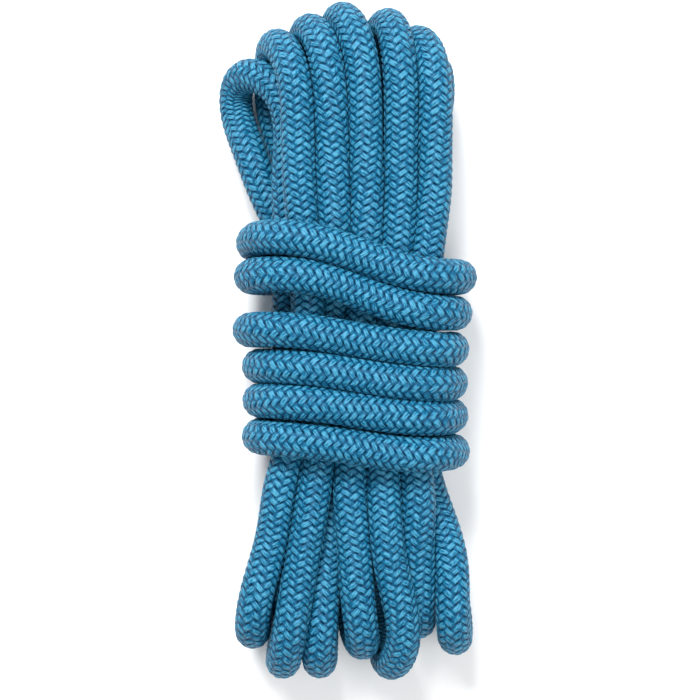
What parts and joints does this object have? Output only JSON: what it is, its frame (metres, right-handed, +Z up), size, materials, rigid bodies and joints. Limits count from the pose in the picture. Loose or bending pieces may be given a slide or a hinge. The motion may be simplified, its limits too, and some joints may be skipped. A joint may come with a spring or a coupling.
{
  "type": "hanked climbing rope",
  "caption": "Braided dynamic climbing rope made up as a flat hank: long loops that fan out at both ends, bound at the waist by turns of the same rope.",
  "frame": {"origin": "middle of the bounding box, on the surface that the hank lies on", "axes": "The hank lies on its back. +Z is up from the surface, +Y runs along the hank towards the upper loops, +X is to the right when the upper loops point away from the viewer."},
  "size_m": [0.0732, 0.203, 0.0473],
  "materials": {
    "rope_sheath": "two-over-two braid of mid-blue nylon yarns, satin",
    "core_yarn": "twisted undyed nylon strands, semi-matt",
    "marker_thread": "single dyed thread, matt",
    "end_sleeve": "heat-shrunk sleeve, smooth, slightly ribbed by the rope under it",
    "end_seal": "melted nylon, uneven"
  },
  "bodies": {
    "root": {"upper_loops": "rope_sheath", "waist_runs": "rope_sheath", "lower_loops": "rope_sheath", "waist_wraps": "rope_sheath", "tucked_turn": "rope_sheath", "start_tail_sheath": "rope_sheath", "finish_tail_sheath": "rope_sheath", "start_end_sleeve": "end_sleeve", "finish_end_sleeve": "end_sleeve", "start_end_seal": "end_seal", "finish_end_seal": "end_seal", "core_strand_01": "core_yarn", "core_strand_02": "core_yarn", "core_strand_03": "core_yarn", "core_strand_04": "core_yarn", "core_strand_05": "core_yarn", "core_strand_06": "core_yarn", "core_strand_07": "core_yarn", "core_strand_08": "core_yarn", "core_strand_09": "core_yarn", "core_strand_10": "core_yarn", "core_strand_11": "core_yarn", "core_strand_12": "core_yarn", "marker_thread": "marker_thread"}
  },
  "joints": []
}
